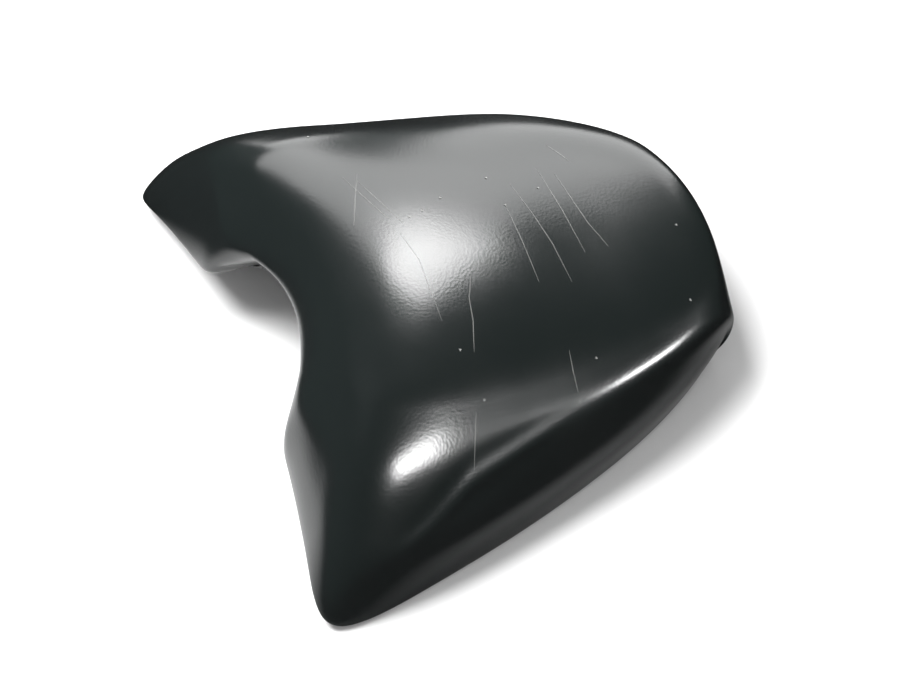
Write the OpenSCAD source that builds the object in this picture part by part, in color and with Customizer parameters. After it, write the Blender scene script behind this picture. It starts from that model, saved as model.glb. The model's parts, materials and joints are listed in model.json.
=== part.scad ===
// Motorcycle pillion seat: a foam cushion moulded with a seamless skin on a ribbed plastic base pan.
// X runs across the seat, Y runs back from the notch to the tail and Z is up. The seat stands on
// its lower rim, with the origin under the middle of its length. The skin is one smooth surface
// drawn inside a cage of stations from the notch back to the tail, so it lies a little inside the
// cage's sizes. Places along the seat are measured back from the horns.

/* [Front notch] */
// Half width between the lower corners of the notch
notch_half = 49; // [44:1:54]
// How far back the top of the notch lies
notch_back = 43; // [37:1:48]
// How far back the lower corners of the notch lie
corner_back = 15; // [10:1:20]
// Height of the lip's underside at the middle
notch_h = 62; // [59:1:65]
// Height of the notch's lower corners
corner_h = 35; // [28:1:38]
// How far the rounded lip stands forward of the notch's wall
lip_out = 6; // [4:1:9]
// Depth of the skin's turned-in wall behind the lip
notch_wall = 26; // [18:1:32]

/* [Horns and brow] */
// Half width at the tips of the two horns
horn_half = 151; // [145:1:160]
// How far back the brow lies at the middle
brow_back = 70; // [64:1:76]
// Height of the brow
brow_h = 91; // [86:1:97]
// Half width between the shoulders at the brow
brow_shoulder = 112; // [104:1:120]
// Height of the shoulders at the brow
brow_shoulder_h = 69; // [64:1:74]

/* [Crown and tail] */
// Height of the crown behind the brow
nape_h = 91; // [86:1:95]
// Height of the crown halfway along
waist_h = 83; // [78:1:88]
// Height of the crown three quarters of the way along
loin_h = 71; // [66:1:77]
// Height of the crown near the tail
rear_h = 66; // [61:1:70]
// How far back the tail's edge lies
tail_back = 247; // [225:1:272]
// Height of the tail's edge
tail_h = 49; // [45:1:54]
// Height of the arch under the tail
tail_arch = 6; // [2:1:10]

/* [Foot outline] */
// Half width of the foot behind the horns
nape_half = 133; // [128:1:139]
// Half width of the foot halfway along
waist_half = 119; // [114:1:125]
// Half width of the foot three quarters of the way along
loin_half = 92; // [87:1:98]
// Half width of the foot near the tail
rear_half = 66; // [62:1:72]
// Half width of the foot at the tail
tail_half = 52; // [49:1:58]

/* [Shoulder line] */
// Half width between the shoulders behind the brow
nape_shoulder = 114; // [108:1:120]
// Half width between the shoulders halfway along
waist_shoulder = 107; // [100:1:114]
// Half width between the shoulders three quarters of the way along
loin_shoulder = 95; // [90:1:101]
// Half width between the shoulders near the tail
rear_shoulder = 74; // [70:1:80]
// Half width of the tail's edge
tail_shoulder = 63; // [59:1:68]
// Height of the shoulders behind the brow
nape_shoulder_h = 62; // [57:1:67]
// Height of the shoulders halfway along
waist_shoulder_h = 54; // [50:1:59]
// Height of the shoulders three quarters of the way along
loin_shoulder_h = 55; // [50:1:60]
// Height of the shoulders near the tail
rear_shoulder_h = 46; // [42:1:50]
// Softness of the shoulder at the brow
brow_soft = 30; // [20:1:36]
// Softness of the shoulder at the tail, where it is crisp
tail_soft = 5; // [3:1:8]
// How far the side walls bulge
wall_bulge = 10; // [4:1:14]

/* [Rim] */
// Height of the rounding along the foot
rim_h = 7; // [5:1:9]
// Width of the skin that turns in under the foot
rim_in = 13; // [10:1:16]
// Depth of the pan's flange above the foot
recess = 10; // [8:1:13]

/* [Base pan] */
// Wall of the pan
pan_t = 3; // [2:0.5:4]
// Height of the pan's roof at the front
roof_front_h = 60; // [56:1:63]
// Height of the pan's roof at the tail
roof_rear_h = 40; // [37:1:43]
// Half width of the pan's tunnel at the front
tunnel_front = 54; // [50:1:58]
// Half width of the pan's tunnel at the tail
tunnel_rear = 38; // [34:1:42]
// Depth of the ribs under the roof
rib_h = 7; // [4:1:9]
// Thickness of the ribs
rib_t = 2.4; // [1.6:0.2:3.2]
// Spacing of the ribs along the seat
rib_pitch = 25; // [20:1:32]

/* [Latch striker] */
// How far ahead of the tail's edge the striker lies
striker_inset = 51; // [46:1:58]
// Diameter of the striker's bar
bar_d = 6; // [5:0.5:8]
// Inside width of the striker's loop
loop_w = 18; // [14:1:18]
// How far the loop hangs below its plate
loop_drop = 18; // [15:1:19]
// Length of the striker's plate across the seat
plate_l = 58; // [57:1:60]
// Width of the striker's plate along the seat
plate_w = 24; // [20:1:30]
// Thickness of the striker's plate
plate_t = 2.5; // [2:0.5:4]

/* [Front tongue] */
// How far back the tongue's foot lies
tongue_back = 104; // [100:1:112]
// Width of the tongue
tongue_w = 36; // [30:1:42]
// Length of the tongue's foot
tongue_foot_l = 30; // [26:1:34]
// How far the tongue's blade reaches forward of its foot
tongue_reach = 24; // [18:1:28]
// How far the blade is set down from the foot
tongue_drop = 9; // [6:1:12]
// Thickness of the tongue
tongue_t = 3; // [2:0.5:4]

/* [Screws] */
// Diameter of the screws
screw_d = 5; // [4:0.5:6]
// Length of the screws under the head
screw_l = 12; // [10:1:13]
// Depth of the bosses that take the screws, from the roof's underside
boss_drop = 8; // [6:1:10]
// Clearance round a screw in a plate
screw_play = 0.3; // [0.1:0.1:0.6]

/* [Rubber buffers] */
// Diameter of a buffer's pad
buffer_d = 20; // [16:1:24]
// Diameter of a buffer's stem
stem_d = 8; // [6:0.5:10]
// Clearance round a buffer's stem
stem_play = 0.2; // [0.1:0.1:0.4]

/* [Hidden] */

// Steps that each span of the cage is drawn in, along the seat and across it
steps_along = 3;
steps_across = 2;

function unit(v) = v / norm(v);
function mix(a, b, t) = a + (b - a) * t;
function column(rows, k) = [for (r = rows) [for (p = r) p[k]]];

// Clamped cubic B-spline: knot places, basis weights and the matrix of weights for n points
function knot(i, n) = min(max(i - 3, 0), n - 3);
function share(a, b, x) = b > a ? (x - a) / (b - a) : 0;
function weight(i, p, x, n) =
    p == 0
    ? (knot(i, n) <= x && x < knot(i + 1, n) ? 1 : 0)
    : share(knot(i, n), knot(i + p, n), x) * weight(i, p - 1, x, n)
      + (knot(i + p + 1, n) > knot(i + 1, n)
         ? (1 - share(knot(i + 1, n), knot(i + p + 1, n), x)) * weight(i + 1, p - 1, x, n)
         : 0);
end_gap = 1e-9;
function weights(n, steps) =
    [for (k = [0:(n - 3) * steps])
        let (x = min(k / steps, n - 3 - end_gap))
        [for (i = [0:n - 1]) weight(i, 3, x, n)]];
function transposed(m) = [for (j = [0:len(m[0]) - 1]) [for (r = m) r[j]]];

// The smooth surface inside a cage, as rows of points
function skin(cage) =
    let (u = weights(len(cage), steps_along),
         v = transposed(weights(len(cage[0]), steps_across)),
         x = u * column(cage, 0) * v,
         y = u * column(cage, 1) * v,
         z = u * column(cage, 2) * v)
    [for (i = [0:len(x) - 1]) [for (j = [0:len(x[0]) - 1]) [x[i][j], y[i][j], z[i][j]]]];

// A half section becomes a whole one by mirroring
function whole(half) =
    concat([for (k = [len(half) - 1:-1:1]) [-half[k][0], half[k][1], half[k][2]]], half);

// How far back each station lies at the middle and at the foot, as shares of the seat's length
nape_at = [0.385, 0.26] * tail_back;
waist_at = [0.607, 0.462] * tail_back;
loin_at = [0.745, 0.737] * tail_back;
rear_at = [1.02, 0.923] * tail_back;

// How the tail's wall leans in and steps forward on its way down to the foot
tail_lean = 10;
tail_step = 4;
foot_rise = 1;
notch_round = 13;
face_steep = 5;

// Each station of the cage: back at the middle, back at the foot, half width at the foot, crown
// height, foot height, shoulder half width, shoulder height, shoulder softness, wall bulge, and how
// far the wall leans in below the shoulder
lip = [notch_back, corner_back, notch_half, notch_h, corner_h,
       notch_half - notch_round + 2, notch_h - notch_round, 2 * tail_soft, tail_soft, 0];
lip_top = [notch_back - lip_out, corner_back + 1, notch_half + notch_round, notch_h + 1,
           corner_h - notch_round + 2, notch_half + 5, notch_h + 2, 2 * tail_soft, 2, 0];
brow = [brow_back, 0, horn_half, brow_h, 0, brow_shoulder, brow_shoulder_h, brow_soft,
        0.7 * wall_bulge, 0];
face = let (m = mix(lip_top, brow, 0.5))
       [m[0] - 3.5, corner_back / 2, horn_half - 36, m[3] + 6, corner_h / 2 - 1.5, m[5] - 5, m[6],
        brow_soft / 2, face_steep, 0];
nape = [nape_at[0], nape_at[1], nape_half, nape_h, 0, nape_shoulder, nape_shoulder_h,
        0.85 * brow_soft, 1.2 * wall_bulge, 0];
waist = [waist_at[0], waist_at[1], waist_half, waist_h, 0, waist_shoulder, waist_shoulder_h,
         mix(brow_soft, tail_soft, 0.55), wall_bulge, 0];
loin = [loin_at[0], loin_at[1], loin_half, loin_h, 0, loin_shoulder, loin_shoulder_h,
        mix(brow_soft, tail_soft, 0.8), wall_bulge, 0];
rear = [rear_at[0], rear_at[1], rear_half, rear_h, 0.3 * tail_arch, rear_shoulder,
        rear_shoulder_h, tail_soft, 0.6 * wall_bulge, 0.6 * tail_lean];
tail = [tail_back, tail_back - 1, tail_half, tail_h, tail_arch, tail_shoulder, 0.75 * tail_h,
        tail_soft, 0, tail_lean];
tail_wall = [tail_back - tail_step, tail_back - 1.5 * tail_step, tail_half, tail_h / 2,
             1.3 * tail_arch, tail_shoulder - 3, 0.4 * tail_h, tail_soft, 0, tail_lean / 2];
tail_foot = [tail_back - 2 * tail_step, tail_back - 4 * tail_step, tail_half - 1, 1.3 * tail_arch,
             tail_arch, tail_half - 6, 1.2 * tail_arch, tail_soft, 0, 0];
stations = [lip, lip_top, face, brow, nape, waist, loin, rear, tail, tail_wall, tail_foot];

// The nine points of a station's half section, from the crown out to the foot
function section(s, rim) =
    let (half = s[2], crown = s[3], foot = s[4], shoulder = [s[5], s[6]],
         near = [0.36 * s[5], crown - 0.04 * (crown - s[6])],
         far = [0.72 * s[5], crown - 0.30 * (crown - s[6])],
         wall = [(s[5] + half) / 2 + s[8], (s[6] + foot) / 2],
         flat = [[0, crown], near, far,
                 shoulder + s[7] * unit(far - shoulder), shoulder,
                 shoulder + s[7] * unit(wall - shoulder), wall,
                 [half, foot + rim], [half, foot]])
    [for (p = flat) [p[0], mix(s[0], s[1], pow(min(p[0] / half, 1), 2))
                           - s[9] * max(0, 1 - p[1] / s[6]), p[1]]];
last_low = len(stations) - 3;
outer_rows = [for (i = [0:len(stations) - 1])
              section(stations[i], i > last_low ? foot_rise : rim_h)];

// The first row turns in behind the lip and the last one turns in under the tail
turned_in = [for (p = outer_rows[0]) p + [0, notch_wall, 0]];
tuck = 1 - rim_in / tail_half;
tucked = [for (p = outer_rows[len(outer_rows) - 1])
          [p[0] * tuck, p[1] - rim_in, p[2] + recess]];
half_rows = concat([turned_in], outer_rows, [tucked]);
last = len(half_rows) - 1;

// The rim's inner edge lies inward of the foot, square to the foot's line
foot_line = [for (r = half_rows) r[8]];
function foot_way(i) =
    let (k = min(i, 8), a = foot_line[max(k - 1, 0)], b = foot_line[k + 1],
         t = unit([b[0] - a[0], b[1] - a[1]]))
    [-t[1], t[0], 0];
rim_line = [for (i = [0:last])
            i < last
            ? foot_line[i] + rim_in * foot_way(i) + [0, 0, recess]
            : [foot_line[i][0], foot_line[i][1] - 3, foot_line[i][2]]];
outer_half = [for (i = [0:last]) concat(half_rows[i], [rim_line[i]])];
outer_cage = [for (r = outer_half) whole(r)];

// The pan's upper face: a tunnel from the notch to the tail with a flange out to the rim's edge
front_row = outer_half[0];
back_row = outer_half[last];
tunnel_back = rim_line[6][1];
tunnel_mid = waist_at[0];
roof_r = 10;
// How far along from the tunnel's middle to the tail each of the last five rows lies
tail_shares = [0.5, 0.78, 0.9, 0.97, 1];
// How far the roof drops at each row as it nears the tail
roof_drops = [0, 0, 0, 0, 0, 0, 0, 0, 0, 3, 9, 18];
function tunnel_y(i) =
    i <= 6
    ? mix(front_row[0][1], tunnel_mid, pow(i / 6, 1.3))
    : mix(tunnel_mid, back_row[0][1], tail_shares[i - 7]);
function flange_y(i) =
    i <= 6
    ? mix(front_row[7][1], tunnel_back, pow(i / 6, 1.5))
    : min(rim_line[i][1], back_row[7][1] + (i - last) * 2);
function roof_at(y) =
    mix(roof_front_h, roof_rear_h, (y - front_row[0][1]) / (back_row[0][1] - front_row[0][1]));
function pan_section(i) =
    let (yc = tunnel_y(i), yf = flange_y(i), w = mix(tunnel_front, tunnel_rear, i / last),
         h = roof_at(yc) - roof_drops[i], floor = max(rim_line[i][2] * 0.9, recess),
         top = w - 8, side = h - roof_r,
         flat = [[0, h], [0.4 * top, h], [0.75 * top, h], [top - 3, h - 0.5], [top, h - 3],
                 [top + 3, side], [w - 1, (side + floor) / 2], [w + 2, floor]])
    concat([for (p = flat) [p[0], mix(yc, yf, pow(min(p[0] / w, 1), 2)), p[1]]],
           [([w + 2, yf, floor] + rim_line[i]) / 2, rim_line[i]]);
// The first two rows blend from the notch's wall into the tunnel
function blended(i, k) =
    let (a = front_row[k], b = pan_section(i)[k])
    mix([a[0], b[1], a[2]], b, i / 3);
pan_half = [for (i = [0:last])
            i == 0 ? front_row
            : i == last ? back_row
            : i < 3 ? [for (k = [0:9]) k == 9 ? rim_line[i] : blended(i, k)]
            : pan_section(i)];
pan_cage = [for (r = pan_half) whole(r)];

// Which way the pan's wall is thick at each point of its cage
tail_turn = [0, 0, 0, 0, 0, 0, 0, 0, 0, 0.5, 0.9, 1, 1];
function wall_way(i, k) =
    let (across = [[0, 0, -1], [0, 0, -1], [0, 0, -1], [-0.4, 0, -0.9], [-0.7, 0, -0.7],
                   [-0.9, 0, -0.4], [-1, 0, 0], [-1, 0, -1], [0, 0, -1], [0, 0, -1]][k],
         turn = k < 7 ? tail_turn[i] : 0)
    mix(across, [0, -1, 0], turn);
function thickened(d) =
    [for (i = [0:last]) whole([for (k = [0:9]) pan_half[i][k] + d * wall_way(i, k)])];

// Closed solids between two grids of points; each cell's diagonal points at its nearest corner
function quad(a, b, c, d, turn) = turn ? [[a, b, d], [b, c, d]] : [[a, b, c], [a, c, d]];
function sheet(ni, nj, at, flip) =
    [for (i = [0:ni - 2], j = [0:nj - 2])
        let (a = at(i, j), b = at(i, j + 1), c = at(i + 1, j + 1), d = at(i + 1, j),
             turn = (2 * i < ni - 1) != (2 * j < nj - 1))
        each (flip ? quad(a, b, c, d, turn) : quad(a, d, c, b, turn))];

// Two grids that share their edge
module lens(top, bottom) {
    ni = len(top);
    nj = len(top[0]);
    inner = [for (i = [1:ni - 2], j = [1:nj - 2]) bottom[i][j]];
    points = concat([for (r = top) each r], inner);
    upper = function (i, j) i * nj + j;
    lower = function (i, j)
        i == 0 || j == 0 || i == ni - 1 || j == nj - 1
        ? i * nj + j
        : ni * nj + (i - 1) * (nj - 2) + j - 1;
    polyhedron(points, concat(sheet(ni, nj, upper, false), sheet(ni, nj, lower, true)));
}

// Two grids a wall apart, closed all round
module shell(top, bottom) {
    ni = len(top);
    nj = len(top[0]);
    points = concat([for (r = top) each r], [for (r = bottom) each r]);
    upper = function (i, j) i * nj + j;
    lower = function (i, j) ni * nj + i * nj + j;
    edge = concat([for (j = [0:nj - 2]) [0, j]], [for (i = [0:ni - 2]) [i, nj - 1]],
                  [for (j = [nj - 1:-1:1]) [ni - 1, j]], [for (i = [ni - 1:-1:1]) [i, 0]]);
    n = len(edge);
    band = [for (k = [0:n - 1])
            let (a = edge[k], b = edge[(k + 1) % n])
            each quad(upper(a[0], a[1]), upper(b[0], b[1]), lower(b[0], b[1]),
                      lower(a[0], a[1]), false)];
    polyhedron(points, concat(sheet(ni, nj, upper, false), sheet(ni, nj, lower, true), band));
}

outer_skin = skin(outer_cage);
pan_top = skin(pan_cage);

// The skin's own extent sets the origin: its lowest point at 0 and its length centred
skin_y = [for (r = outer_skin) each [for (p = r) p[1]]];
skin_z = [for (r = outer_skin) each [for (p = r) p[2]]];
lowest = min(skin_z);
middle = (min(skin_y) + max(skin_y)) / 2;
module placed() {
    translate([0, -middle, -lowest]) children();
}

module cushion() {
    color([0.05, 0.06, 0.06])
        placed() lens(outer_skin, pan_top);
}

// Faces that the fittings seat on, under bosses that hang from the sloping roof
function seat_z(back, length) = roof_at(back + length / 2) - pan_t - boss_drop;
striker_back = tail_back - striker_inset;
striker_z = seat_z(striker_back, plate_w);
tongue_z = seat_z(tongue_back, tongue_foot_l);
striker_screw_x = plate_l / 2 - 8;
tongue_screw_x = tongue_w / 2 - 9;
insert_r = screw_d / 2 + 1;
insert_l = 7;
insert_play = 0.15;
washer_t = 1;
boss_r = 5;
hole_l = screw_l - tongue_t + 0.6;

// The buffers sit halfway across the flange, beside its sixth and seventh stations
function flange_middle(i) = pan_half[i][8];
buffer_spots = [flange_middle(6), flange_middle(7)];
buffer_seat = recess - pan_t;

module boss(half, back, length, face) {
    hull()
        for (s = [-1, 1], t = [-0.5, 0.5])
            translate([s * half, back + t * length, face])
                cylinder(r = boss_r, h = roof_at(back + t * length) - pan_t / 2 - face, $fn = 24);
}

module rib(from, to) {
    hull()
        for (p = [from, to])
            translate([p[0], p[1], 2 * recess])
                cylinder(d = rib_t, h = roof_front_h, $fn = 8);
}

// The ribs follow the tunnel's roof and walls, and end where the walls meet the flange
module ribs() {
    first_rib = notch_back + notch_wall + 12;
    across = [for (y = [first_rib:rib_pitch:tail_back - rim_in - 14]) y];
    intersection() {
        shell(skin(thickened(pan_t / 2)), skin(thickened(pan_t + rib_h)));
        union() {
            for (y = across) rib([-tunnel_front, y], [tunnel_front, y]);
            for (x = [-tunnel_rear / 2, tunnel_rear / 2])
                rib([x, first_rib], [x, tail_back - 2 * rim_in]);
        }
    }
}

// One thick pad in the flange round each buffer's stem
module buffer_seats() {
    for (p = buffer_spots, s = [-1, 1])
        translate([s * p[0], p[1], buffer_seat])
            cylinder(d = buffer_d + 3, h = pan_t - 0.05, $fn = 40);
}

module screw_holes(half, back, face, r, depth) {
    for (s = [-1, 1])
        translate([s * half, back, face - 1])
            cylinder(r = r, h = depth + 1, $fn = 32);
}

module base_pan() {
    color([0.13, 0.13, 0.14])
        placed()
            difference() {
                union() {
                    shell(pan_top, skin(thickened(pan_t)));
                    ribs();
                    boss(striker_screw_x, striker_back, plate_w - 2 * boss_r, striker_z);
                    boss(tongue_screw_x, tongue_back, tongue_foot_l - 2 * boss_r, tongue_z);
                    buffer_seats();
                }
                screw_holes(striker_screw_x, striker_back, striker_z, insert_r + insert_play,
                            screw_l - washer_t - plate_t + 0.6);
                screw_holes(tongue_screw_x, tongue_back, tongue_z, screw_d / 2 + insert_play, hole_l);
                for (p = buffer_spots, s = [-1, 1])
                    translate([s * p[0], p[1], 0])
                        cylinder(d = stem_d + 2 * stem_play, h = 2 * recess, $fn = 32);
            }
}

// A flat plate with round corners whose upper face is at z
module rounded_plate(length, width, t, z) {
    corner = 4;
    translate([0, 0, z - t])
        linear_extrude(t)
            hull()
                for (s = [-1, 1], u = [-1, 1])
                    translate([s * (length / 2 - corner), u * (width / 2 - corner)])
                        circle(r = corner, $fn = 24);
}

module striker_plate() {
    color([0.62, 0.63, 0.64])
        placed()
            translate([0, striker_back, 0])
                difference() {
                    rounded_plate(plate_l, plate_w, plate_t, striker_z);
                    for (s = [-1, 1])
                        translate([s * striker_screw_x, 0, striker_z - 2 * plate_t])
                            cylinder(d = screw_d + 2 * screw_play, h = 3 * plate_t, $fn = 40);
                }
}

// A round bar bent into a loop and welded under the plate by its two legs
module striker_loop() {
    bend_r = bar_d;
    leg_x = (loop_w + bar_d) / 2;
    top = striker_z - plate_t;
    leg_l = loop_drop + bar_d / 2 - bend_r;
    color([0.70, 0.71, 0.72])
        placed()
            translate([0, striker_back, top])
                union() {
                    for (s = [0, 1])
                        mirror([s, 0, 0]) {
                            translate([leg_x, 0, -leg_l])
                                cylinder(d = bar_d, h = leg_l, $fn = 40);
                            translate([leg_x - bend_r, 0, -leg_l])
                                rotate([90, 0, 0])
                                    rotate([0, 0, -90])
                                        rotate_extrude(angle = 90, $fn = 40)
                                            translate([bend_r, 0]) circle(d = bar_d, $fn = 40);
                        }
                    translate([bend_r - leg_x, 0, -leg_l - bend_r])
                        rotate([0, 90, 0])
                            cylinder(d = bar_d, h = 2 * (leg_x - bend_r), $fn = 40);
                }
}

// A button-head screw that points up, with the underside of its head at the origin
module screw() {
    head_r = 0.9 * screw_d;
    head_h = 0.55 * screw_d;
    color([0.45, 0.46, 0.48])
        difference() {
            union() {
                cylinder(d = screw_d, h = screw_l, $fn = 40);
                translate([0, 0, -head_h])
                    cylinder(r1 = 0.7 * head_r, r2 = head_r, h = head_h, $fn = 40);
            }
            translate([0, 0, -head_h - 1])
                cylinder(d = 0.6 * screw_d, h = 1 + head_h / 2, $fn = 6);
        }
}

module striker_screw(side) {
    placed() translate([side * striker_screw_x, striker_back, striker_z - plate_t - washer_t]) screw();
}

module striker_washer(side) {
    color([0.75, 0.76, 0.78])
        placed()
            translate([side * striker_screw_x, striker_back, striker_z - plate_t - washer_t])
                difference() {
                    cylinder(d = 2 * screw_d + 1, h = washer_t, $fn = 40);
                    translate([0, 0, -washer_t])
                        cylinder(d = screw_d + 2 * screw_play, h = 3 * washer_t, $fn = 40);
                }
}

module striker_insert(side) {
    color([0.80, 0.62, 0.28])
        placed()
            translate([side * striker_screw_x, striker_back, striker_z])
                difference() {
                    cylinder(r = insert_r, h = insert_l, $fn = 40);
                    translate([0, 0, -1])
                        cylinder(d = screw_d + 0.2, h = insert_l + 2, $fn = 40);
                }
}

// A steel strip joggled down from its foot to a blade that hooks under the frame
module front_tongue() {
    run = tongue_drop;
    half = tongue_foot_l / 2;
    t = tongue_t;
    side = [[half, 0], [-half, 0], [-half - run, -tongue_drop],
            [-half - run - tongue_reach, -tongue_drop],
            [-half - run - tongue_reach, -tongue_drop - t], [-half - run - 0.4 * t, -tongue_drop - t],
            [-half - 0.4 * t, -t], [half, -t]];
    color([0.62, 0.63, 0.64])
        placed()
            translate([0, tongue_back, tongue_z])
                difference() {
                    translate([-tongue_w / 2, 0, 0])
                        rotate([90, 0, 90])
                            linear_extrude(tongue_w) polygon(side);
                    for (s = [-1, 1])
                        translate([s * tongue_screw_x, 0, -2 * t])
                            cylinder(d = screw_d + 2 * screw_play, h = 3 * t, $fn = 40);
                }
}

module tongue_screw(side) {
    placed() translate([side * tongue_screw_x, tongue_back, tongue_z - tongue_t]) screw();
}

// A push-in rubber buffer: a pad under the flange and a stem through it
module buffer(spot, side) {
    foot_z = lowest;
    chamfer = 1;
    color([0.09, 0.09, 0.09])
        placed()
            translate([side * spot[0], spot[1], foot_z])
                rotate_extrude($fn = 48)
                    polygon([[0, 0], [buffer_d / 2 - chamfer, 0], [buffer_d / 2, chamfer],
                             [buffer_d / 2, buffer_seat - foot_z], [stem_d / 2, buffer_seat - foot_z],
                             [stem_d / 2, recess - 0.3 - foot_z], [0, recess - 0.3 - foot_z]]);
}

cushion();
base_pan();
striker_plate();
striker_loop();
striker_screw(-1);  // striker_screw_left
striker_screw(1);  // striker_screw_right
striker_washer(-1);  // striker_washer_left
striker_washer(1);  // striker_washer_right
striker_insert(-1);  // striker_insert_left
striker_insert(1);  // striker_insert_right
front_tongue();
tongue_screw(-1);  // tongue_screw_left
tongue_screw(1);  // tongue_screw_right
buffer(buffer_spots[0], -1);  // buffer_front_left
buffer(buffer_spots[0], 1);  // buffer_front_right
buffer(buffer_spots[1], -1);  // buffer_rear_left
buffer(buffer_spots[1], 1);  // buffer_rear_right
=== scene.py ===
"""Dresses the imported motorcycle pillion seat: its moulded skin, its pan, its fittings and the light.

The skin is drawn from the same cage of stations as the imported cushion, only finer. In its rear half
the shoulders stand higher, with a softer edge, and its rim at the tail hangs lower.
Sizes of the cage are in millimetres, measured back from the horns. Other lengths are in metres,
apart from pixels of the photograph and the camera's sensor."""
import json
import math

import bpy
import numpy as np
from mathutils import Matrix, Vector
from mathutils.bvhtree import BVHTree


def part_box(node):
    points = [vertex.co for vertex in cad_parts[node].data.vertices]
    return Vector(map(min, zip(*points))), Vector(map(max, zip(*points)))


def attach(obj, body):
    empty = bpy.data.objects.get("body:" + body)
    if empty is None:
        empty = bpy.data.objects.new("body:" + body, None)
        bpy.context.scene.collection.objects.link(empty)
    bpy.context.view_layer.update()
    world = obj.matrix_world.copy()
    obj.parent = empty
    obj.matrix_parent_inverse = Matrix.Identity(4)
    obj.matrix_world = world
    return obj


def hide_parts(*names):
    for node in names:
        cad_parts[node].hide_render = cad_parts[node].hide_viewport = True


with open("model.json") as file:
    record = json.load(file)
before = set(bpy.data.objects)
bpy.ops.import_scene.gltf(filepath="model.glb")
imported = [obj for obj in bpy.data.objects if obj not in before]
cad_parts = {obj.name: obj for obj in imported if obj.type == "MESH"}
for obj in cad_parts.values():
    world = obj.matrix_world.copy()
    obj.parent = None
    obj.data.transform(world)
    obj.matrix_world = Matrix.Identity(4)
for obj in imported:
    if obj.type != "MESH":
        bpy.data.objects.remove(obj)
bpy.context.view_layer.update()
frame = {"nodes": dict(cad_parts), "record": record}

MM = 0.001
IMAGE_W, IMAGE_H = 900, 675

# The cage's stations, from the notch's lip back to the tail's foot: how far back the middle and the
# foot lie, half width at the foot, crown and foot heights, shoulder half width and height, softness
# of the shoulder, bulge of the wall and how far the wall leans in below the shoulder
STATIONS = {
    "lip": (43, 15, 49, 62, 35, 38, 49, 10, 5, 0),
    "lip_top": (37, 16, 62, 63, 24, 54, 64, 10, 2, 0),
    "face": (50, 7.5, 115, 83, 16, 78, 66.5, 15, 5, 0),
    "brow": (70, 0, 151, 91, 0, 112, 69, 30, 7, 0),
    "nape": (95.1, 64.2, 133, 91, 0, 114, 62, 25.5, 12, 0),
    "waist": (149.9, 114.1, 119, 83, 0, 105, 56, 14, 10, 0),
    "loin": (184, 182, 92, 73, 0, 91.5, 58.5, 11, 9, 0),
    "rear": (251.9, 228, 66, 65, 1.8, 69.5, 50.5, 10, 6, 6),
    "tail": (247, 246, 52, 49, 4, 57, 41.5, 8, 0, 10),
    "tail_wall": (243, 241, 52, 23, 4, 60, 18, 5, 0, 5),
    "tail_foot": (239, 233, 51, -2, 3, 46, -2, 5, 0, 0),
}
# Where the crown's two points lie, as shares of the way out to the shoulder and of the way down to it
CROWN_NEAR, CROWN_FAR = (0.36, 0.04), (0.72, 0.30)
# Height of the rim above the foot, round the sides and at the tail
RIM_H, TAIL_RIM_H = 7, 1
# How far the tucked rim runs in and up, and how far it runs in at the tail's last row
RIM_IN, RECESS, TAIL_TUCK = 13, 10, 3
# How far the wall behind the notch runs back
NOTCH_WALL = 26
# The last row whose own foot line says which way its rim is tucked
LAST_TURN = 8
# Steps of the mesh between two knots, along the seat and across it
ROW_STEPS, COLUMN_STEPS = 16, 12


def unit(v):
    return v / np.linalg.norm(v)


def section(station, rim):
    """The nine cage points of a station, from the crown out to the foot."""
    back, foot_back, half, crown, foot, sx, sz, soft, bulge, lean = station
    shoulder = np.array([sx, sz], float)
    near, far = (np.array([out * sx, crown - down * (crown - sz)]) for out, down in (CROWN_NEAR, CROWN_FAR))
    wall = np.array([(sx + half) / 2 + bulge, (sz + foot) / 2])
    above = shoulder + soft * unit(far - shoulder)
    below = shoulder + soft * unit(wall - shoulder)
    flat = [(0, crown), near, far, above, shoulder, below, wall, (half, foot + rim), (half, foot)]
    return [(x, back + (foot_back - back) * min(x / half, 1) ** 2 - lean * max(0, 1 - z / sz), z)
            for x, z in flat]


def skin_cage():
    """The whole cage as rows of points, from the wall behind the lip to the tuck under the tail."""
    stations = list(STATIONS.values())
    last_low = len(stations) - 3
    rows = [section(s, TAIL_RIM_H if i > last_low else RIM_H) for i, s in enumerate(stations)]
    tuck = 1 - RIM_IN / stations[-1][2]
    rows.insert(0, [(x, y + NOTCH_WALL, z) for x, y, z in rows[0]])
    rows.append([(x * tuck, y - RIM_IN, z + RECESS) for x, y, z in rows[-1]])
    foot = np.array([row[-1] for row in rows], float)
    half = []
    for i, row in enumerate(rows):
        k = min(i, LAST_TURN)
        way = unit(foot[k + 1, :2] - foot[max(k - 1, 0), :2])
        inner = foot[i] + [-way[1] * RIM_IN, way[0] * RIM_IN, RECESS]
        if i == len(rows) - 1:
            inner = foot[i] + [0, -TAIL_TUCK, 0]
        half.append([*row, inner])
    half = np.array(half, float)
    mirrored = half[:, :0:-1] * [-1, 1, 1]
    return np.concatenate([mirrored, half], 1)


def spline_weights(n, places):
    """Weights of a clamped cubic B-spline's n points at places from 0 to 1."""
    knots = np.clip(np.arange(n + 4) - 3, 0, n - 3).astype(float)
    x = np.minimum(np.asarray(places) * (n - 3), n - 3 - 1e-9)[:, None]
    w = ((knots[:-1] <= x) & (x < knots[1:])).astype(float)
    for p in range(1, 4):
        rise = knots[p:-1] - knots[:-p - 1]
        fall = knots[p + 1:] - knots[1:-p]
        up = np.where(rise > 0, (x - knots[:-p - 1]) / np.where(rise > 0, rise, 1), 0)
        down = np.where(fall > 0, (knots[p + 1:] - x) / np.where(fall > 0, fall, 1), 0)
        w = up * w[:, :-1] + down * w[:, 1:]
    return w


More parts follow.
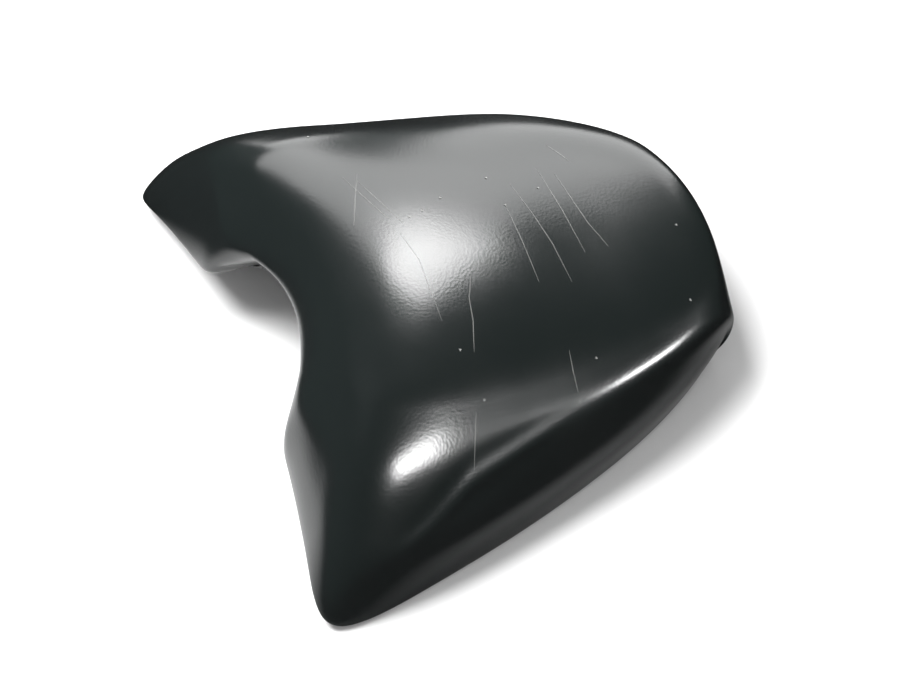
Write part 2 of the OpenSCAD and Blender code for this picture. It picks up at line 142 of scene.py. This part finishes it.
def seat_skin():
    """The skin's points in metres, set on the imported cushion's own box."""
    cage = skin_cage()
    along, across = (spline_weights(n, np.linspace(0, 1, (n - 3) * steps + 1))
                     for n, steps in zip(cage.shape, (ROW_STEPS, COLUMN_STEPS)))
    points = np.einsum("ui,vj,ijk->uvk", along, across, cage) * MM
    lo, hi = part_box("cushion")
    flat = points.reshape(-1, 3)
    middle = (flat[:, 1].min() + flat[:, 1].max()) / 2
    return points + [0, (lo.y + hi.y) / 2 - middle, lo.z - flat[:, 2].min()]


# The flute below each shoulder: how far along the skin it runs and how far down the side it lies, in
# shares of the skin
FLUTE = {"front": (0.345, 0.865), "middle": (0.43, 0.785), "back": (0.53, 0.757)}
# The height of its ridge and the depth of the hollow above it
FLUTE_RIDGE, FLUTE_HOLLOW = 0.0006, 0.0005
# Its width and the gap from the ridge to the hollow, in shares of the skin, and how fast its ends fade
FLUTE_WIDTH, FLUTE_GAP, FLUTE_FADE = 0.015, 0.028, 0.8


def fluted(points):
    """The skin with a soft ridge and hollow below each shoulder, which fade out at both ends."""
    normal = normals_of(points)
    u = np.linspace(0, 1, points.shape[0])[:, None]
    v = np.linspace(0, 1, points.shape[1])[None]
    side = np.maximum(v, 1 - v)
    along, down = zip(*FLUTE.values())
    line = np.interp(u, along, down)
    share = np.clip((u - along[0]) / (along[-1] - along[0]), 0, 1)
    fade = np.sin(np.pi * share) ** FLUTE_FADE
    ridge = np.exp(-(((side - line) / FLUTE_WIDTH) ** 2))
    hollow = np.exp(-(((side - line + FLUTE_GAP) / FLUTE_WIDTH) ** 2))
    rise = fade * (FLUTE_RIDGE * ridge - FLUTE_HOLLOW * hollow)
    return points + rise[..., None] * normal


def normals_of(points):
    """Unit normals of a grid of points, outward from the foam."""
    du, dv = np.gradient(points, axis=0), np.gradient(points, axis=1)
    n = np.cross(dv, du)
    n /= np.maximum(np.linalg.norm(n, axis=2, keepdims=True), 1e-12)
    return n


def mesh_object(name, vertices, faces):
    mesh = bpy.data.meshes.new(name)
    mesh.from_pydata([tuple(v) for v in vertices], [], faces)
    mesh.validate()
    mesh.update()
    mesh.shade_smooth()
    obj = bpy.data.objects.new(name, mesh)
    bpy.context.scene.collection.objects.link(obj)
    return obj


def grid_faces(rows, columns, start=0, flip=False):
    """The four-sided faces of a grid whose first vertex is start."""
    faces = []
    for i in range(rows - 1):
        for j in range(columns - 1):
            a = start + i * columns + j
            face = (a, a + columns, a + columns + 1, a + 1)
            faces.append(face[::-1] if flip else face)
    return faces


def ring_of(rows, columns):
    """Indices round a grid's edge, in order."""
    return ([(0, j) for j in range(columns - 1)] + [(i, columns - 1) for i in range(rows - 1)]
            + [(rows - 1, j) for j in range(columns - 1, 0, -1)] + [(i, 0) for i in range(rows - 1, 0, -1)])


# How deep the shell's inner side lies, and the middle of the foam that it steps towards: its reach to
# front and tail, its height at both, and its width as a share of the skin's
SKIN_DEPTH = 0.003
CORE_REACH, CORE_FRONT_H, CORE_TAIL_H, CORE_WIDTH = 0.07, 0.065, 0.03, 0.5


def inward(points):
    """Unit steps from the skin's points towards the middle of the foam."""
    share = np.clip((points[..., 1] + CORE_REACH) / (2 * CORE_REACH), 0, 1)
    x = CORE_WIDTH * points[..., 0]
    y = np.clip(points[..., 1], -CORE_REACH, CORE_REACH)
    z = CORE_FRONT_H + (CORE_TAIL_H - CORE_FRONT_H) * share
    core = np.stack([x, y, z], -1)
    step = core - points
    return step / np.linalg.norm(step, axis=2, keepdims=True)


def make_cushion():
    """The skin as a closed shell whose inner side lies inside the foam, out of sight."""
    outer = fluted(seat_skin())
    rows, columns = outer.shape[:2]
    inner = outer + SKIN_DEPTH * inward(outer)
    count = rows * columns
    ring = [i * columns + j for i, j in ring_of(rows, columns)]
    faces = grid_faces(rows, columns) + grid_faces(rows, columns, count, True)
    for a, b in zip(ring, ring[1:] + ring[:1]):
        faces.append((b, a, count + a, count + b))
    vertices = np.concatenate([outer.reshape(-1, 3), inner.reshape(-1, 3)])
    obj = mesh_object("cushion_skin", vertices, faces)
    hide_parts("cushion")
    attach(obj, "root")
    return obj


# Materials

def new_material(name, color, rough, metal=0.0):
    mat = bpy.data.materials.new(name)
    mat.use_nodes = True
    bsdf = mat.node_tree.nodes["Principled BSDF"]
    bsdf.inputs["Base Color"].default_value = (*color, 1)
    bsdf.inputs["Roughness"].default_value = rough
    bsdf.inputs["Metallic"].default_value = metal
    return mat, mat.node_tree, bsdf


def object_coords(tree):
    return tree.nodes.new("ShaderNodeTexCoord").outputs["Object"]


def noise(tree, scale, detail):
    node = tree.nodes.new("ShaderNodeTexNoise")
    node.inputs["Scale"].default_value = scale
    node.inputs["Detail"].default_value = detail
    tree.links.new(object_coords(tree), node.inputs["Vector"])
    return node.outputs["Fac"]


def ramp(tree, source, first, last):
    """Colours from first to last, each a place on the ramp and a colour."""
    node = tree.nodes.new("ShaderNodeValToRGB")
    for element, (place, color) in zip(node.color_ramp.elements, (first, last)):
        element.position = place
        element.color = (*color, 1)
    tree.links.new(source, node.inputs["Fac"])
    return node.outputs["Color"]


def bump(tree, bsdf, height, strength, distance, before=None):
    node = tree.nodes.new("ShaderNodeBump")
    node.inputs["Strength"].default_value = strength
    node.inputs["Distance"].default_value = distance
    tree.links.new(height, node.inputs["Height"])
    if before is not None:
        tree.links.new(before, node.inputs["Normal"])
    tree.links.new(node.outputs["Normal"], bsdf.inputs["Normal"])
    return node.outputs["Normal"]


SKIN_COLOR = (0.0075, 0.0095, 0.0095)
# Roughness where the skin is polished by use and where it isn't, in clouds
SKIN_POLISHED, SKIN_DULL, CLOUD_SCALE = 0.19, 0.25, 22
# The pebbled grain left by the mould
GRAIN_SCALE, GRAIN_SMOOTHNESS = 760, 0.6


def skin_material():
    """Satin black moulded skin: a fine pebbled grain, faint waviness and cloudy wear in the gloss."""
    mat, tree, bsdf = new_material("moulded_skin", SKIN_COLOR, SKIN_DULL)
    cloud = noise(tree, scale=CLOUD_SCALE, detail=4)
    wear = ramp(tree, cloud, (0.3, (SKIN_POLISHED,) * 3), (0.75, (SKIN_DULL,) * 3))
    tree.links.new(wear, bsdf.inputs["Roughness"])
    wave = noise(tree, scale=60, detail=1)
    waved = bump(tree, bsdf, wave, strength=0.02, distance=0.0012)
    grain = tree.nodes.new("ShaderNodeTexVoronoi")
    grain.feature = "SMOOTH_F1"
    grain.inputs["Scale"].default_value = GRAIN_SCALE
    grain.inputs["Smoothness"].default_value = GRAIN_SMOOTHNESS
    tree.links.new(object_coords(tree), grain.inputs["Vector"])
    bump(tree, bsdf, grain.outputs["Distance"], strength=0.04, distance=0.0006, before=waved)
    return mat


def pan_material():
    """Black moulded plastic with a fine spark-eroded texture."""
    mat, tree, bsdf = new_material("moulded_plastic", (0.022, 0.022, 0.024), rough=0.5)
    bump(tree, bsdf, noise(tree, scale=900, detail=2), strength=0.2, distance=0.0003)
    return mat


def metal_material(name, color, rough, cloud_scale):
    """Plated or bare metal with a cloudy tone and a fine tooth."""
    mat, tree, bsdf = new_material(name, color, rough, metal=1.0)
    shaded = tuple(0.8 * c for c in color)
    tone = ramp(tree, noise(tree, scale=cloud_scale, detail=3), (0.3, shaded), (0.7, color))
    tree.links.new(tone, bsdf.inputs["Base Color"])
    bump(tree, bsdf, noise(tree, scale=1500, detail=2), strength=0.1, distance=0.0001)
    return mat


def rubber_material():
    """Dull black rubber with a coarse matt surface."""
    mat, tree, bsdf = new_material("buffer_rubber", (0.02, 0.02, 0.02), rough=0.75)
    bump(tree, bsdf, noise(tree, scale=700, detail=3), strength=0.3, distance=0.0003)
    return mat


def dress_nodes():
    """Each carried-over node takes the material of its slot."""
    made = {
        "pan": pan_material(),
        "steel": metal_material("zinc_plate", (0.60, 0.61, 0.60), rough=0.32, cloud_scale=90),
        "screw": metal_material("dark_zinc", (0.36, 0.37, 0.38), rough=0.38, cloud_scale=120),
        "brass": metal_material("brass", (0.75, 0.55, 0.25), rough=0.3, cloud_scale=80),
        "buffer": rubber_material(),
    }
    for part in frame["record"]["subparts"]:
        node = frame["nodes"][part["node"]]
        if part["material_slot"] in made:
            node.data.materials.clear()
            node.data.materials.append(made[part["material_slot"]])


# Wear on the skin, each mark placed by the pixels of the photograph that it runs through
SCRATCHES = {
    "brow_long": ((357, 174), (355, 200), (354, 226)),
    "brow_slant": ((343, 178), (366, 199), (390, 220)),
    "brow_slant_2": ((357, 181), (380, 202), (403, 223)),
    "crown_curve": ((400, 233), (419, 259), (432, 295), (442, 321)),
    "crown_upright": ((471, 273), (469, 298), (473, 321), (474, 352)),
    "far_1": ((510, 184), (532, 213), (552, 243), (572, 282)),
    "far_2": ((536, 168), (562, 210), (585, 252)),
    "far_3": ((554, 173), (571, 198), (588, 223), (608, 246)),
    "far_4": ((546, 145), (558, 153), (569, 161)),
    "far_5": ((505, 204), (523, 243), (539, 282)),
    "near_upright": ((569, 350), (573, 371), (578, 392)),
    "shoulder_upright": ((476, 412), (475, 441), (474, 470)),
}
NICKS = {
    "white_speck": (596, 358), "far_edge": (308, 137), "far_chip": (486, 178), "crown_1": (440, 198),
    "crown_2": (422, 211), "crown_3": (409, 217), "rear_1": (538, 188), "rear_2": (505, 205),
    "rear_3": (676, 225), "rear_4": (690, 300), "near_1": (460, 350), "near_2": (484, 400),
}
# A scratch's width, how far its middle stands up, and the step along it
SCRATCH_W, SCRATCH_LIFT, SCRATCH_STEP_PX = 0.0004, 0.00006, 3
# A nick's reach and lift, the number of its sides and how ragged its edge is
NICK_R, NICK_LIFT, NICK_SIDES, NICK_RAGGED = 0.0008, 0.00025, 8, 0.3
SCRATCH_COLOR, NICK_COLOR = (0.26, 0.26, 0.25), (0.36, 0.36, 0.35)


def caster(camera, skin):
    """A function from a pixel of the photograph to the place and normal of the skin there."""
    places = [v.co for v in skin.data.vertices]
    tree = BVHTree.FromPolygons(places, [p.vertices for p in skin.data.polygons])
    turn = camera.rotation_quaternion.to_matrix()
    eye = camera.location

    def cast(pixel):
        x = (pixel[0] - IMAGE_W / 2) / CAMERA_FOCUS_PX
        y = (IMAGE_H / 2 - pixel[1]) / CAMERA_FOCUS_PX
        place, normal, _, _ = tree.ray_cast(eye, turn @ Vector((x, y, -1)))
        return place, normal
    return cast


def scratch_strip(cast, pixels, vertices, faces):
    """A hair-thin raised strip whose edges lie just inside the skin."""
    path = []
    for (x0, y0), (x1, y1) in zip(pixels, pixels[1:]):
        n = max(2, round(math.hypot(x1 - x0, y1 - y0) / SCRATCH_STEP_PX))
        path += [(x0 + (x1 - x0) * k / n, y0 + (y1 - y0) * k / n) for k in range(n)]
    path.append(pixels[-1])
    hits = [cast(p) for p in path]
    for k, (place, normal) in enumerate(hits):
        ahead = hits[min(k + 1, len(hits) - 1)][0] - hits[max(k - 1, 0)][0]
        across = ahead.cross(normal).normalized()
        taper = math.sin(math.pi * (k + 0.5) / len(hits)) ** 0.5
        first = len(vertices)
        lift = normal * SCRATCH_LIFT
        reach = across * SCRATCH_W / 2 * taper
        vertices += [place - reach - lift, place + lift, place + reach - lift]
        if k:
            for j in (0, 1):
                faces.append((first - 3 + j, first - 2 + j, first + 1 + j, first + j))


def nick(cast, pixel, vertices, faces):
    """A small raised chip of skin."""
    place, normal = cast(pixel)
    side = normal.orthogonal().normalized()
    other = normal.cross(side)
    first = len(vertices)
    lift = normal * NICK_LIFT
    for k in range(NICK_SIDES):
        turn = 2 * math.pi * k / NICK_SIDES
        reach = NICK_R * (1 - NICK_RAGGED + NICK_RAGGED * math.sin(3 * turn + pixel[0]))
        vertices.append(place + (side * math.cos(turn) + other * math.sin(turn)) * reach - lift)
    vertices.append(place + lift)
    for k in range(NICK_SIDES):
        faces.append((first + k, first + (k + 1) % NICK_SIDES, first + NICK_SIDES))


def make_marks(camera, skin):
    """All scratches as one piece and all nicks as another."""
    cast = caster(camera, skin)
    scratched = new_material("scratched_skin", SCRATCH_COLOR, rough=0.5)[0]
    chipped = new_material("chipped_skin", NICK_COLOR, rough=0.45)[0]
    for name, draw, marks, mat in (("skin_scratches", scratch_strip, SCRATCHES, scratched),
                                   ("skin_nicks", nick, NICKS, chipped)):
        vertices, faces = [], []
        for mark in marks.values():
            draw(cast, mark, vertices, faces)
        obj = mesh_object(name, vertices, faces)
        obj.data.materials.append(mat)
        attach(obj, "root")


# Camera, light and floor

CAMERA_AZIMUTH, CAMERA_ELEVATION, CAMERA_ROLL = 66.84, 48.89, 2.64
CAMERA_FOCUS_PX, CAMERA_AWAY, CAMERA_CLIP = 2929, 1.4, (0.05, 50)
SENSOR_MM = 36
# A point of the seat and the pixel of the photograph that it lands on
AIM = Vector((0, 0.0012, 0.0364))
AIM_PIXEL = (466.6, 288.5)


def make_camera():
    """The photograph's camera, turned so that the aim point lands on its pixel."""
    a, e, r = map(math.radians, (CAMERA_AZIMUTH, CAMERA_ELEVATION, CAMERA_ROLL))
    back = Vector((math.sin(a) * math.cos(e), -math.cos(a) * math.cos(e), math.sin(e)))
    right = Vector((math.cos(a), math.sin(a), 0))
    up = back.cross(right)
    right, up = right * math.cos(r) + up * math.sin(r), up * math.cos(r) - right * math.sin(r)
    data = bpy.data.cameras.new("camera")
    data.sensor_fit = "HORIZONTAL"
    data.sensor_width = SENSOR_MM
    data.lens = CAMERA_FOCUS_PX * SENSOR_MM / IMAGE_W
    data.clip_start, data.clip_end = CAMERA_CLIP
    camera = bpy.data.objects.new("camera", data)
    bpy.context.scene.collection.objects.link(camera)
    camera.location = AIM + back * CAMERA_AWAY
    # The aim point falls off the picture's centre, so the camera turns a little instead of shifting
    off_x = (IMAGE_W / 2 - AIM_PIXEL[0]) / CAMERA_FOCUS_PX
    off_y = (IMAGE_H / 2 - AIM_PIXEL[1]) / CAMERA_FOCUS_PX
    look = (-back + right * off_x - up * off_y).normalized()
    side = look.cross(up).normalized()
    top = side.cross(look)
    camera.rotation_mode = "QUATERNION"
    camera.rotation_quaternion = Matrix((side, top, -look)).transposed().to_quaternion()
    bpy.context.scene.camera = camera
    return camera


def map_range(tree, source, low, high):
    """Nothing at low, one at high."""
    node = tree.nodes.new("ShaderNodeMapRange")
    node.inputs["From Min"].default_value = low
    node.inputs["From Max"].default_value = high
    tree.links.new(source, node.inputs["Value"])
    return node.outputs["Result"]


def emission(tree, color, strength):
    node = tree.nodes.new("ShaderNodeEmission")
    node.inputs["Color"].default_value = (*color, 1)
    node.inputs["Strength"].default_value = strength
    return node.outputs[0]


def mixed(tree, factor, first, second):
    node = tree.nodes.new("ShaderNodeMixShader")
    tree.links.new(factor, node.inputs["Fac"])
    tree.links.new(first, node.inputs[1])
    tree.links.new(second, node.inputs[2])
    return node.outputs[0]


def math_node(tree, operation, a, b):
    node = tree.nodes.new("ShaderNodeMath")
    node.operation = operation
    tree.links.new(a, node.inputs[0])
    tree.links.new(b, node.inputs[1])
    return node.outputs[0]


def length_of(tree, vector):
    node = tree.nodes.new("ShaderNodeVectorMath")
    node.operation = "LENGTH"
    tree.links.new(vector, node.inputs[0])
    return node.outputs["Value"]


def shown_rays(tree):
    """One for the rays that show the background: the camera's, mirrored and transmitted ones."""
    path = tree.nodes.new("ShaderNodeLightPath").outputs
    mirrored = math_node(tree, "ADD", path["Is Camera Ray"], path["Is Glossy Ray"])
    return math_node(tree, "ADD", mirrored, path["Is Transmission Ray"])


def to_surface(tree, shader):
    tree.links.new(shader, tree.nodes["Material Output"].inputs["Surface"])


WHITE = (1, 1, 1)
PAPER_SIZE, PAPER_COLOR = 6, (0.88, 0.88, 0.88)
# How far from the seat's middle the paper starts to turn into the white backdrop
BACKDROP_R = 0.28
# A dim glowing dome round the set that paints the reflection of a dark room, and how far the glowing sheet
# that paints a dark reflection round the table lies above the paper
PAINTED_SURROUND_R, PAINTED_SURROUND_COLOR, PAINTED_SURROUND_GLOW = 2.5, (0.62, 1, 0.88), 0.09
PAINTED_SHEET_LIFT, PAINTED_SHEET_COLOR, PAINTED_SHEET_GLOW = 0.0003, (1, 0.97, 0.93), 0.02
# The patch of paper that the painted dark reflection leaves bare: its middle, half its length, its length
# over its width, and the shares of that half between which the painted reflection's edge sets in
TABLE_MIDDLE, TABLE_R, TABLE_STRETCH = (0.01, -0.05, 0), 0.19, 1.6
TABLE_EDGE = (0.75, 1.25)


def make_floor():
    """White paper that holds the shadow near the seat and runs out into the white backdrop."""
    bpy.ops.mesh.primitive_plane_add(size=PAPER_SIZE, location=(0, 0, 0))
    floor = bpy.context.object
    floor.name = "floor"
    mat, tree, bsdf = new_material("floor", PAPER_COLOR, rough=0.9)
    bsdf.inputs["Specular IOR Level"].default_value = 0.0
    away = map_range(tree, length_of(tree, object_coords(tree)), BACKDROP_R, 2 * BACKDROP_R)
    far = math_node(tree, "MULTIPLY", away, shown_rays(tree))
    to_surface(tree, mixed(tree, far, bsdf.outputs[0], emission(tree, WHITE, strength=1.0)))
    floor.data.materials.append(mat)


def as_painted_reflection(obj, mat):
    """Makes a piece into a painted reflection that glows dimly: it is seen in the gloss, and nowhere else.
    """
    obj.name = mat.name
    obj.data.materials.append(mat)
    obj.visible_camera = False
    obj.visible_diffuse = False
    obj.visible_transmission = False
    obj.visible_shadow = False


def make_painted_reflections():
    """Painted reflections: a dim glowing dome round the set and a glowing sheet round the table, which the
    gloss shows instead of the white background.
    """
    bpy.ops.mesh.primitive_uv_sphere_add(segments=48, ring_count=24, radius=PAINTED_SURROUND_R)
    mat, tree, _ = new_material("painted_surround_reflection", PAINTED_SURROUND_COLOR, rough=1.0)
    # The dome's dim teal-tinted glow paints the reflection of a dark room
    to_surface(tree, emission(tree, PAINTED_SURROUND_COLOR, PAINTED_SURROUND_GLOW))
    as_painted_reflection(bpy.context.object, mat)

    bpy.ops.mesh.primitive_plane_add(size=2 * PAINTED_SURROUND_R, location=(0, 0, PAINTED_SHEET_LIFT))
    mat, tree, _ = new_material("painted_table_reflection", PAINTED_SHEET_COLOR, rough=1.0)
    patch = tree.nodes.new("ShaderNodeMapping")
    patch.vector_type = "TEXTURE"
    patch.inputs["Location"].default_value = TABLE_MIDDLE
    patch.inputs["Scale"].default_value = (1 / TABLE_STRETCH, 1, 1)
    tree.links.new(object_coords(tree), patch.inputs["Vector"])
    off = length_of(tree, patch.outputs["Vector"])
    dark = map_range(tree, off, TABLE_EDGE[0] * TABLE_R, TABLE_EDGE[1] * TABLE_R)
    bare = tree.nodes.new("ShaderNodeBsdfTransparent").outputs[0]
    # Beyond the bare patch the sheet glows dimly, painting a dark reflection of the table's surroundings
    to_surface(tree, mixed(tree, dark, bare, emission(tree, PAINTED_SHEET_COLOR, PAINTED_SHEET_GLOW)))
    as_painted_reflection(bpy.context.object, mat)


FILL_LIGHT = 0.6


def make_world():
    """White where it is seen, and a pale fill on matt surfaces."""
    world = bpy.data.worlds.new("world")
    bpy.context.scene.world = world
    world.use_nodes = True
    tree = world.node_tree
    tree.nodes.clear()
    out = tree.nodes.new("ShaderNodeOutputWorld")

    def background(strength):
        node = tree.nodes.new("ShaderNodeBackground")
        node.inputs["Color"].default_value = (*WHITE, 1)
        node.inputs["Strength"].default_value = strength
        return node.outputs[0]
    shown = mixed(tree, shown_rays(tree), background(FILL_LIGHT), background(strength=1.0))
    tree.links.new(shown, out.inputs["Surface"])


DOWN = (0, 0, -1)
# The ceiling of light over the far side: its near corner, its two ways and its height
CEILING_CORNER, CEILING_H = (-0.12, 0.07), 0.5
CEILING_A, CEILING_B = (-0.67, 0.74), (-0.74, -0.67)
# Where it starts along its first way, where it ends along its second one, and its brightness
CEILING_FROM_A, CEILING_TO_B, CEILING_GLOW = 0.09, 0.8, 5.0
# The pale wall at its far end: how far away, how high, how bright, and its parts beside a dark gap
FAR_WALL_AWAY, FAR_WALL_H, FAR_WALL_GLOW = 0.9, 0.49, 3.7
FAR_WALL_PARTS = {"far_wall_right": (-0.1, 0.42), "far_wall_left": (0.58, 1.0)}
# The lamp just under the ceiling: how far along its two ways, its height, size and power
CROWN_LAMP_AT, CROWN_LAMP_H, CROWN_LAMP_SIZE, CROWN_LAMP_W = (0.205, 0.05), 0.48, (0.24, 0.15), 1.95
# The lamps over the near shoulder: middle, way of the length, size and power
SHOULDER_LAMPS = {
    "shoulder_lamp": ((0.45, 0.12, 0.42), (-0.26, 0.966, 0), (0.19, 0.19), 4.8),
    "shoulder_strip": ((0.405, 0.665, 0.42), (-0.15, 0.989, 0), (0.44, 0.16), 13),
}
# The key: its place, the way that it shines, its size and power
KEY_AT, KEY_FACING, KEY_SIZE, KEY_W = (-0.39, -0.54, 1.3), (0.28, 0.38, -0.88), (0.8, 0.8), 42


def panel(name, centre, along, facing, size, power):
    """A rectangular lamp whose length runs along one way and which shines the way that it faces."""
    data = bpy.data.lights.new(name, "AREA")
    data.shape = "RECTANGLE"
    data.size, data.size_y = size
    data.energy = power
    obj = bpy.data.objects.new(name, data)
    bpy.context.scene.collection.objects.link(obj)
    obj.location = centre
    z = -Vector(facing).normalized()
    x = Vector(along)
    x = (x - z * x.dot(z)).normalized()
    obj.rotation_mode = "QUATERNION"
    obj.rotation_quaternion = Matrix((x, z.cross(x), z)).transposed().to_quaternion()
    return obj


def power_of(size, brightness):
    """The power that gives a panel of that size a brightness."""
    return brightness * math.pi * size[0] * size[1]


def over(a, b):
    """The place that lies so far along the ceiling's two ways from its near corner."""
    return [c + a * p + b * q for c, p, q in zip(CEILING_CORNER, CEILING_A, CEILING_B)]


def ceiling():
    size = (FAR_WALL_AWAY - CEILING_FROM_A, CEILING_TO_B)
    centre = (*over((CEILING_FROM_A + FAR_WALL_AWAY) / 2, CEILING_TO_B / 2), CEILING_H)
    return panel("ceiling", centre, (*CEILING_A, 0), DOWN, size, power_of(size, CEILING_GLOW))


def far_wall(name, start, end):
    """A part of the far wall, between two distances along it."""
    size = (end - start, FAR_WALL_H)
    centre = (*over(FAR_WALL_AWAY, (start + end) / 2), CEILING_H - FAR_WALL_H / 2)
    facing = (-CEILING_A[0], -CEILING_A[1], 0)
    return panel(name, centre, (*CEILING_B, 0), facing, size, power_of(size, FAR_WALL_GLOW))


def make_lights():
    """Panels that only the gloss shows, and one key that lights the paper and the matt parts."""
    mirrored = [ceiling()]
    mirrored += [far_wall(name, *part) for name, part in FAR_WALL_PARTS.items()]
    crown_at = (*over(*CROWN_LAMP_AT), CROWN_LAMP_H)
    mirrored.append(panel("crown_lamp", crown_at, (*CEILING_A, 0), DOWN, CROWN_LAMP_SIZE, CROWN_LAMP_W))
    for name, (centre, along, size, power) in SHOULDER_LAMPS.items():
        mirrored.append(panel(name, centre, along, DOWN, size, power))
    for lamp in mirrored:
        lamp.visible_diffuse = False
    key = panel("key", KEY_AT, (1, 0, 0), KEY_FACING, KEY_SIZE, KEY_W)
    key.visible_glossy = False


def main():
    camera = make_camera()
    skin = make_cushion()
    skin.data.materials.append(skin_material())
    make_marks(camera, skin)
    dress_nodes()
    make_floor()
    make_painted_reflections()
    make_lights()
    make_world()
    bpy.context.scene.view_settings.view_transform = "Standard"


main()
